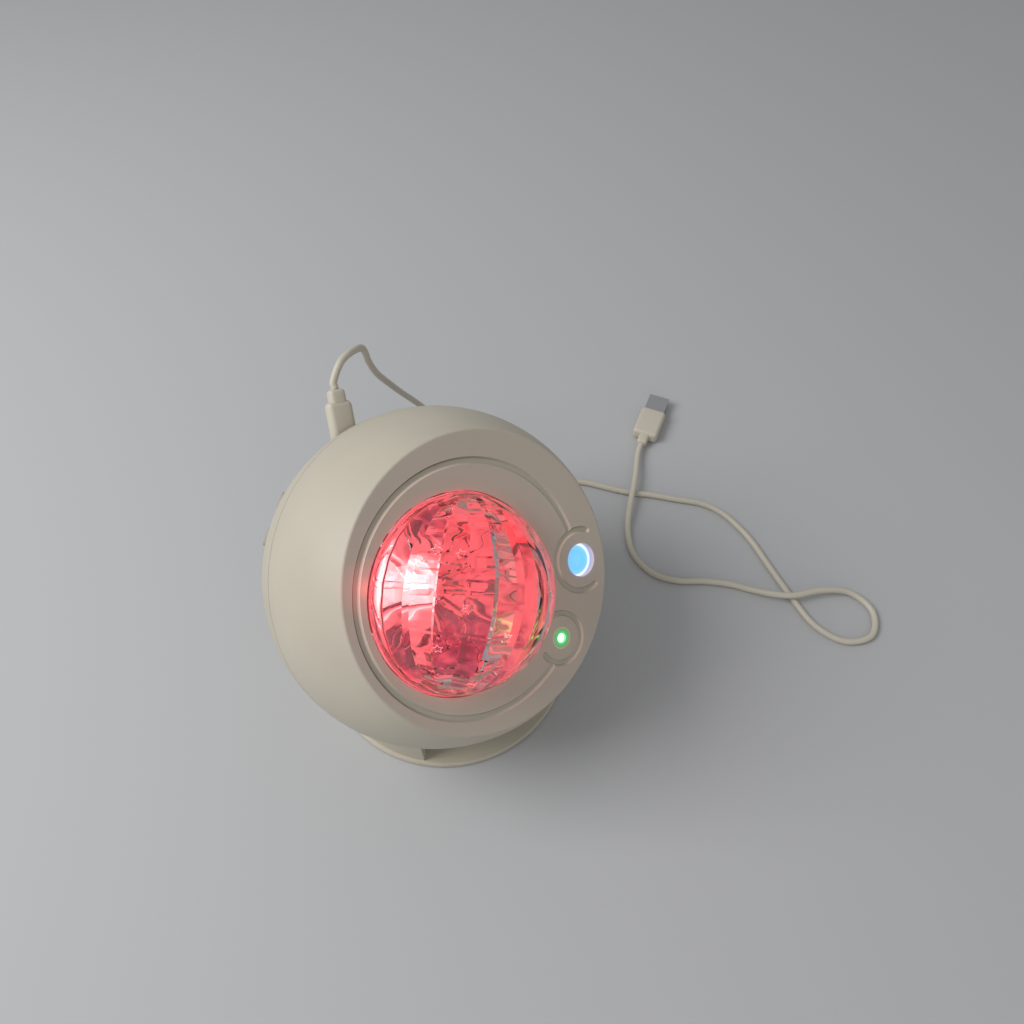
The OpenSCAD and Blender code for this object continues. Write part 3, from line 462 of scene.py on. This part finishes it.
# Ripple wheel and star disc: clear moulded discs on the two motor shafts. They turn in front of the lamp
# and the laser, so the picture on the ceiling moves.
def clear_plastic(name, colour, roughness, wave_scale, wave_depth):
    material = new_material(name)
    shader = shader_of(material)
    shader.inputs["Base Color"].default_value = (*colour, 1)
    shader.inputs["Roughness"].default_value = roughness
    shader.inputs["IOR"].default_value = 1.49
    shader.inputs["Transmission Weight"].default_value = 1.0
    nodes, links = material.node_tree.nodes, material.node_tree.links
    relief = nodes.new("ShaderNodeBump")
    relief.inputs["Distance"].default_value = wave_depth
    links.new(speckle(material.node_tree, wave_scale, detail=1), relief.inputs["Height"])
    links.new(relief.outputs["Normal"], shader.inputs["Normal"])
    return material


clear_wheel = clear_plastic("clear_wheel", (1.0, 0.90, 0.90), 0.02, wave_scale=160, wave_depth=0.0012)
clear_disc = clear_plastic("clear_disc", (0.9, 1.0, 0.92), 0.05, wave_scale=400, wave_depth=0.0004)
dress(clear_wheel, "ripple_wheel")
dress(clear_disc, "star_disc")


# Dome: a thick half globe of clear acrylic, moulded in one piece. Outside it is cut into gores that meet
# in sharp ridges. Inside, each gore leans its own way and has ripples and steps, so each shows the lit
# tray shifted. Its edge has a painted coral glow, and painted green and blue glints beside the lenses.
dome_place = head_place @ Matrix.Translation((dome_across, dome_up, 0.034))
gores = 22
gore_angle = 2 * math.pi / gores
inner_radius = 0.0342
outer_radius = 0.0396
wall_cut = 0.0037
plain_edge = 0.001
lean_out, lean_in = 0.030, -0.035
ripples = 27
deep_ripple, fine_ripple = 0.0030, 0.0006
low_step_size, high_step_size = 0.012, 0.009
laser_across, laser_up = 0.0393, -0.0209
laser_front = on_head(laser_across, laser_up, face_lift)


def half_globe(name, rings, radius):
    bpy.ops.object.select_all(action="DESELECT")
    bpy.ops.mesh.primitive_uv_sphere_add(segments=gores, ring_count=rings, radius=radius)
    globe = bpy.context.object
    globe.name = name
    globe.rotation_euler = (0, 0, gore_angle / 2)
    bpy.ops.object.transform_apply()
    globe.rotation_euler = (math.radians(90), 0, 0)
    bpy.ops.object.transform_apply()
    bpy.ops.object.mode_set(mode="EDIT")
    bpy.ops.mesh.select_all(action="SELECT")
    bpy.ops.mesh.bisect(plane_co=(0, 0, wall_cut), plane_no=(0, 0, 1), clear_inner=True)
    bpy.ops.object.mode_set(mode="OBJECT")
    return globe


inner_globe = half_globe("dome_inside", 128, inner_radius)
rng = random.Random(11)
ripple_starts = [rng.uniform(0, 2 * math.pi) for ridge in range(gores)]
for corner in inner_globe.data.vertices:
    if corner.co.z > wall_cut + plain_edge:
        ridge = round(math.atan2(corner.co.x, corner.co.z) / gore_angle - 0.5)
        slope = corner.co.y / inner_radius
        lean = (lean_out if ridge % 2 else lean_in) * math.sqrt(max(1 - slope * slope, 0))
        ripple_size = deep_ripple if ridge < 1 else fine_ripple
        ripple = ripple_size * math.sin(ripples * math.asin(slope) + ripple_starts[ridge])
        low_start = -0.70 - 0.06 * (ridge % 3)
        low_end = -0.40 + 0.05 * (ridge % 2)
        low_step = low_step_size if -4 < ridge < 1 and low_start < slope < low_end else 0
        on_tooth = 0.18 < slope < 0.42 and math.sin(38 * slope) > 0
        high_step = high_step_size if -4 < ridge < 0 and on_tooth else 0
        corner.co *= 1 + lean + ripple + low_step + high_step
bpy.ops.object.mode_set(mode="EDIT")
bpy.ops.mesh.select_all(action="SELECT")
bpy.ops.mesh.flip_normals()
bpy.ops.object.mode_set(mode="OBJECT")
bpy.ops.object.shade_smooth_by_angle(angle=math.radians(8))

half_globe("dome_crystal", 96, outer_radius)
bpy.ops.object.mode_set(mode="EDIT")
bpy.ops.mesh.select_mode(type="EDGE")
bpy.ops.mesh.select_all(action="DESELECT")
bpy.ops.mesh.edges_select_sharp(sharpness=math.radians(10))
bpy.ops.mesh.bevel(offset=0.0003, segments=2)
bpy.ops.object.mode_set(mode="OBJECT")
bpy.ops.object.shade_smooth_by_angle(angle=math.radians(5))
inner_globe.select_set(True)
bpy.ops.object.join()
dome = bpy.context.object
bpy.ops.object.mode_set(mode="EDIT")
bpy.ops.mesh.select_mode(type="EDGE")
bpy.ops.mesh.select_all(action="DESELECT")
bpy.ops.mesh.select_non_manifold(extend=False)
bpy.ops.mesh.bridge_edge_loops()
bpy.ops.mesh.select_all(action="SELECT")
bpy.ops.mesh.remove_doubles(threshold=1e-6)
bpy.ops.mesh.normals_make_consistent(inside=False)
bpy.ops.object.mode_set(mode="OBJECT")
dome.data.transform(dome_place)

dome_acrylic = clear_plastic("dome_acrylic", (1.0, 0.86, 0.87), 0.0, wave_scale=60, wave_depth=0.0002)
dome_tree = dome_acrylic.node_tree
# Painted light: a coral glow painted round the dome's edge just above the face, and painted green and blue
# glints near the lenses.
edge_light = colour_steps(dome_tree, above_face(dome_tree, -0.002, 0.008), [
    (0.12, nothing), (0.19, (0.60, 0.08, 0.09)), (0.30, (0.20, 0.02, 0.025)), (0.55, nothing)])
painted_glint_noise = speckle(dome_tree, scale=420, detail=1)
glint = colour_steps(dome_tree, painted_glint_noise, [(0.52, nothing), (0.60, full)])
green_sparkle = glow_near(dome_tree, laser_front, 0.0195, [(0.45, (0.50, 1.0, 0.16)), (0.95, nothing)])
blue_sparkle = glow_near(dome_tree, blue_front, 0.022, [(0.45, (0.45, 0.55, 0.95)), (0.95, nothing)])
for sparkle in (green_sparkle, blue_sparkle):
    edge_light = added(dome_tree, edge_light, multiplied(dome_tree, sparkle, glint))
shine(dome_acrylic, edge_light, 1.0)
dome.data.materials.clear()
dome.data.materials.append(dome_acrylic)
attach(dome, "head")
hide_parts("dome")


# Moulded stars: fine raised outlines of five-pointed stars on the dome's inner wall. On the real lamp
# they are of the same acrylic; here each has a painted pale glow for its ridge catching the lamp.
star_radius = 0.0020
star_notch = 0.46
star_line = 0.0001
star_rise = 0.00015
star_seat = 0.0312
star_spots = (
    (-48, -30, 0.4), (-42, 2, 1.1), (-38, 36, 0.2), (14, 52, 0.9), (12, 24, 0.5), (-56, -20, 1.4),
    (-22, 6, 0.8), (-28, -28, 0.3))
# Painted light: the stars get a blotchy pale pink painted glow.
star_light = new_material("star_light")
shader_of(star_light).inputs["Base Color"].default_value = (1, 0.75, 0.75, 1)
star_tree = star_light.node_tree
star_patch = speckle(star_tree, scale=700, detail=2)
star_glow = colour_steps(star_tree, star_patch, [(0.40, (0.75, 0.12, 0.14)), (0.62, (1.0, 0.62, 0.60))])
shine(star_light, star_glow, 1.0)

bpy.ops.object.select_all(action="DESELECT")
bpy.ops.mesh.primitive_circle_add(vertices=10, radius=star_radius, fill_type="NGON")
first_star = bpy.context.object
for number, tip in enumerate(first_star.data.vertices):
    if number % 2:
        tip.co *= star_notch
bpy.ops.object.mode_set(mode="EDIT")
bpy.ops.mesh.select_mode(type="FACE")
bpy.ops.mesh.select_all(action="SELECT")
bpy.ops.mesh.inset(thickness=star_line)
bpy.ops.mesh.delete(type="FACE")
bpy.ops.mesh.select_all(action="SELECT")
bpy.ops.mesh.extrude_region_move(TRANSFORM_OT_translate={"value": (0, 0, star_rise)})
bpy.ops.mesh.select_all(action="SELECT")
bpy.ops.mesh.remove_doubles(threshold=1e-6)
bpy.ops.mesh.normals_make_consistent(inside=False)
bpy.ops.object.mode_set(mode="OBJECT")
star_outlines = [first_star]
for spot in star_spots[1:]:
    outline = first_star.copy()
    outline.data = first_star.data.copy()
    bpy.context.collection.objects.link(outline)
    star_outlines.append(outline)
for outline, (across, along, turn) in zip(star_outlines, star_spots):
    lean = (Matrix.Rotation(math.radians(across), 4, "Y") @ Matrix.Rotation(math.radians(along), 4, "X")
            @ Matrix.Translation((0, 0, star_seat)) @ Matrix.Rotation(turn, 4, "Z"))
    outline.data.transform(dome_place @ lean)
bpy.ops.object.select_all(action="DESELECT")
for outline in star_outlines:
    outline.select_set(True)
bpy.context.view_layer.objects.active = star_outlines[0]
bpy.ops.object.join()
moulded_stars = bpy.context.object
moulded_stars.name = "moulded_stars"
moulded_stars.data.materials.append(star_light)
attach(moulded_stars, "head")


# Laser: a brass module in a black holder, behind a flush ivory insert with a small opening. The opening is
# closed by a domed lens with a painted white-green glow, and the insert has a painted green ring of it.
halo_reach = 0.005
brass_turned = moulded_plastic("brass_turned", (0.55, 0.38, 0.12), roughness=0.3, grain=900, depth=0.00003,
                               metal=1.0)
dress(brass_turned, "laser_module")
window_ivory = moulded_plastic("window_ivory", ivory, roughness=0.52, grain=2600, depth=0.00006)
window_tree = window_ivory.node_tree
# Painted light: a green glow painted on the insert round the laser opening, with a pale ring.
halo = glow_near(window_tree, laser_front, halo_reach, [
    (0.39, (0.55, 1.0, 0.65)), (0.44, (0.04, 0.62, 0.15)), (0.58, (0.01, 0.42, 0.09)),
    (0.70, (0.004, 0.15, 0.03)), (0.82, (0.004, 0.07, 0.01)), (0.85, (0.17, 0.20, 0.06)),
    (0.88, (0.17, 0.20, 0.06)), (0.91, (0.004, 0.05, 0.008)), (1.0, (0.002, 0.03, 0.005))])
shine(window_ivory, halo, 1.0)
# Painted light and shade: the insert's base colour is painted darker and green round the opening.
painted_laser_light_and_shade = glow_near(window_tree, laser_front, halo_reach, [
    (0.44, (0.10, 0.30, 0.15)), (0.60, (0.35, 0.60, 0.40)), (0.80, full)])
paint_light_and_shade_into_base_colour(window_ivory, painted_laser_light_and_shade)
dress(window_ivory, "laser_window")


def lens_cap(name, segments, rings, radius, cut, flatness):
    bpy.ops.object.select_all(action="DESELECT")
    bpy.ops.mesh.primitive_uv_sphere_add(segments=segments, ring_count=rings, radius=radius)
    lens = bpy.context.object
    lens.name = name
    bpy.ops.object.mode_set(mode="EDIT")
    bpy.ops.mesh.select_all(action="SELECT")
    bpy.ops.mesh.bisect(plane_co=(0, 0, cut), plane_no=(0, 0, 1), use_fill=True, clear_inner=True)
    bpy.ops.mesh.select_all(action="DESELECT")
    bpy.ops.object.mode_set(mode="OBJECT")
    lens.scale = (1, 1, flatness)
    bpy.ops.object.transform_apply()
    return lens


def lens_light(name, roughness, lamp, reach, steps, strength):
    material = new_material(name)
    shader = shader_of(material)
    shader.inputs["Roughness"].default_value = roughness
    shader.inputs["Coat Weight"].default_value = 1.0
    glow = glow_near(material.node_tree, lamp, reach, steps)
    material.node_tree.links.new(glow, shader.inputs["Base Color"])
    shine(material, glow, strength)
    return material


laser_lens = lens_cap("laser_lens", 32, 24, radius=0.00198, cut=0.0002, flatness=0.5)
laser_lens.data.transform(head_place @ Matrix.Translation((laser_across, laser_up, 0.0394)))
bpy.ops.object.shade_smooth_by_angle(angle=math.radians(40))
# Painted light: the laser lens gets a painted white-green glow, in its base colour and its emission.
green_light = lens_light("green_light", 0.1, laser_front, 0.0026, [
    (0.0, (1.0, 1.0, 1.0)), (0.70, (0.90, 1.0, 0.94)), (0.86, (0.45, 0.95, 0.55))], strength=1.3)
laser_lens.data.materials.append(green_light)
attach(laser_lens, "head")


# Blue lens: a convex plastic lens pressed into a black barrel behind the face, over its own small lamp. It
# has a painted pale blue glow, with the lamp's reflection in the barrel's wall painted as a white crescent.
crescent_way = Vector((0.650, -0.760, 0))
crescent_shift = 0.0022
lens_thickness = 0.0028
blue_lens = lens_cap("blue_lens_convex", 64, 48, radius=0.00695, cut=0, flatness=0.22)
for facet in blue_lens.data.polygons:
    facet.select = facet.normal.z < -0.9
bpy.ops.object.mode_set(mode="EDIT")
bpy.ops.mesh.select_mode(type="FACE")
bpy.ops.mesh.extrude_region_move(TRANSFORM_OT_translate={"value": (0, 0, -lens_thickness)})
bpy.ops.object.mode_set(mode="OBJECT")
blue_lens.data.transform(head_place @ Matrix.Translation((blue_across, blue_up, 0.0383)))
bpy.ops.object.shade_smooth_by_angle(angle=math.radians(40))
# Painted light: the lens gets a painted blue glow, with a painted reflection as a white crescent off centre
# and painted pale and dark rings.
blue_light = lens_light("blue_light", 0.08, blue_front - crescent_shift * crescent_way, 0.010, [
    (0.0, (0.85, 0.95, 1.0)), (0.04, (0.85, 0.95, 1.0)), (0.06, (0.20, 0.60, 0.98)),
    (0.45, (0.17, 0.56, 0.96)), (0.62, (0.22, 0.62, 1.0)), (0.66, (0.85, 0.95, 1.0)),
    (0.74, (0.80, 0.92, 1.0)), (0.78, (0.28, 0.58, 0.95)), (0.85, (0.20, 0.40, 0.75)),
    (0.90, (0.10, 0.10, 0.28))], strength=0.75)
blue_lens.data.materials.append(blue_light)
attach(blue_lens, "head")
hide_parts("blue_lens")


# Buttons: two ivory keys on the back of the ball, moulded in the shell's plastic with a finer skin. Each
# slides in its own hole, over a small switch on a round board.
key_ivory = moulded_plastic("key_ivory", ivory, roughness=0.48, grain=2200, depth=0.00005)
dress(key_ivory, "button_power", "button_mode")


# Lead: one off-white power lead, about a metre long, with a moulded plug at each end. It leaves the ball,
# arches over and falls to the floor, lies wound and tied behind the ball, then wanders across the floor.
cord_width = 0.0033
cord_low = 0.00168
line_steps = 8
coil_turns = 3
coil_steps = 24
coil_x, coil_y = 0.088, 0.058
coil_reach = 0.021
coil_pitch = 0.0038
coil_low = 0.00285
coil_rise_start = 1.25


def cord_line(points):
    line = []
    for before, here, there, after in zip(points, points[1:], points[2:], points[3:]):
        straight = there - before
        bend = 2 * before - 5 * here + 4 * there - after
        twist = 3 * here - before - 3 * there + after
        for step in range(line_steps):
            share = step / line_steps
            line.append(0.5 * (2 * here + straight * share + bend * share * share
                               + twist * share * share * share))
    line.append(points[-2])
    return line


def millimetres(rows):
    return [Vector(row) / 1000 for row in rows]


arch_points = millimetres([
    (15.95, 68.29, 124.52), (18.68, 71.92, 128.45), (20.17, 73.91, 130.61), (27, 76, 135), (35, 78, 134),
    (43, 81, 128), (49, 87, 112), (56, 92, 95), (65, 95, 78), (74, 98, 62), (84, 100, 45), (95, 99, 25),
    (104, 93, 8), (109, 80, 3), (109, 70, 2.85), (109, 61.3, 2.85), (109, 55.3, 2.85)])
run_points = millimetres([
    (109, 60.7, 6.65), (109, 54.7, 6.65), (109, 51.4, 6.65), (110, 42, 2.5), (118, 26, 1.75),
    (128, 12, 1.75), (138, -10, 1.75), (146, -23, 1.75), (153, -36, 1.75), (160, -49, 1.75),
    (162, -61, 1.75), (160, -73, 1.75), (156, -85, 1.75), (148, -101, 1.75), (139, -120, 1.75),
    (133, -136, 1.75), (135, -152, 1.75), (147, -161, 1.75), (160, -155, 1.75), (162, -141, 2.5),
    (152, -129, 5), (139, -119, 5.6), (133, -109, 4), (129, -98, 1.75), (125, -89, 1.75),
    (118, -78, 1.75), (109, -67, 1.75), (104, -54, 1.75), (107, -39, 1.75), (118, -27, 2.5),
    (133, -18, 5), (142, -13.5, 5.6), (152, -8, 5.2), (162, -2, 4.2), (168, 1, 4), (171.4, 2.13, 4),
    (177, 4, 4)])
coil_line = []
for step in range(coil_turns * coil_steps + 1):
    turn = step / coil_steps
    reach = coil_reach - coil_pitch * min(turn, coil_turns - turn)
    lift = coil_low + coil_pitch * min(max((turn - coil_rise_start) * 2, 0), 1)
    around = -2 * math.pi * turn
    coil_line.append(Vector((coil_x + reach * math.cos(around), coil_y + reach * math.sin(around), lift)))
cord_route = cord_line(arch_points) + coil_line + cord_line(run_points)
for place in cord_route:
    place.z = max(place.z, cord_low)

cord_curve = bpy.data.curves.new("usb_cord", "CURVE")
cord_curve.dimensions = "3D"
cord_curve.bevel_depth = cord_width / 2
cord_curve.bevel_resolution = 4
cord_curve.use_fill_caps = True
spline = cord_curve.splines.new("POLY")
spline.points.add(len(cord_route) - 1)
for dot, place in zip(spline.points, cord_route):
    dot.co = (*place, 1)
cord = bpy.data.objects.new("usb_cord", cord_curve)
bpy.context.collection.objects.link(cord)
bpy.ops.object.select_all(action="DESELECT")
cord.select_set(True)
bpy.context.view_layer.objects.active = cord
bpy.ops.object.convert(target="MESH")
cord = bpy.context.object
bpy.ops.object.shade_smooth()
lead_plastic = moulded_plastic("lead_plastic", (0.61, 0.565, 0.465), roughness=0.45, grain=1600,
                               depth=0.00005)
cord.data.materials.append(lead_plastic)


def rounded_block(width, thick, low, high, rounding):
    bpy.ops.object.select_all(action="DESELECT")
    bpy.ops.mesh.primitive_cube_add(size=1, location=(0, 0, (low + high) / 2))
    block = bpy.context.object
    block.scale = (width, thick, high - low)
    bpy.ops.object.transform_apply()
    bpy.ops.object.mode_set(mode="EDIT")
    bpy.ops.mesh.select_all(action="SELECT")
    bpy.ops.mesh.bevel(offset=rounding, segments=6)
    bpy.ops.object.mode_set(mode="OBJECT")
    return block


def moulded_plug(name, node, body, place, blocks):
    plug = rounded_block(*blocks[0])
    plug.name = name
    for sizes in blocks[1:]:
        lug = rounded_block(*sizes)
        weld = plug.modifiers.new("weld", "BOOLEAN")
        weld.operation = "UNION"
        weld.object = lug
        bpy.context.view_layer.objects.active = plug
        bpy.ops.object.modifier_apply(modifier="weld")
        bpy.data.objects.remove(lug)
    bpy.ops.object.select_all(action="DESELECT")
    plug.select_set(True)
    bpy.ops.object.mode_set(mode="EDIT")
    bpy.ops.mesh.select_all(action="SELECT")
    bpy.ops.mesh.remove_doubles(threshold=1e-6)
    bpy.ops.mesh.normals_make_consistent(inside=False)
    bpy.ops.object.mode_set(mode="OBJECT")
    bpy.ops.object.shade_smooth_by_angle(angle=math.radians(35))
    plug.data.transform(place)
    plug.data.materials.append(lead_plastic)
    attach(plug, body)
    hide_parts(node)
    return plug


near_place = (head_place @ Matrix.Rotation(math.radians(18), 4, "Z")
              @ Matrix.Translation((-0.0225, 0, -0.0183)) @ Matrix.Rotation(math.radians(-90), 4, "X"))
near_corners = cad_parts["usb_c_plug"].data.vertices
near_rows = [(near_place.inverted() @ corner.co).z for corner in near_corners]
near_low, near_high = min(near_rows), max(near_rows)
near_neck = near_high - 0.0052
near_blocks = [
    (0.0112, 0.0064, near_low, near_neck, 0.0024),
    (0.0074, 0.0056, near_neck - 0.003, near_high, 0.0021)]
moulded_plug("near_plug", "usb_c_plug", "head", near_place, near_blocks)
far_way = run_points[-1] - run_points[-2]
far_place = (Matrix.Translation(run_points[-2]) @ Matrix.Rotation(math.atan2(far_way.y, far_way.x), 4, "Z")
             @ Matrix.Rotation(math.radians(90), 4, "Z") @ Matrix.Rotation(math.radians(90), 4, "X"))
far_blocks = [
    (0.0150, 0.0078, 0.0062, 0.0272, 0.0021),
    (0.0060, 0.0052, 0.0002, 0.0092, 0.0018),
    (0.0104, 0.0016, 0.0240, 0.0387, 0.0003)]
far_plug = moulded_plug("far_plug", "usb_a_plug", "base", far_place, far_blocks)
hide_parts("cord_arch", "cord_coil", "cord_run")
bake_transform(cord)
dress(soft_rubber, "cord_tie")
dress(plated_steel, "plug_tongue", "usb_a_shell")
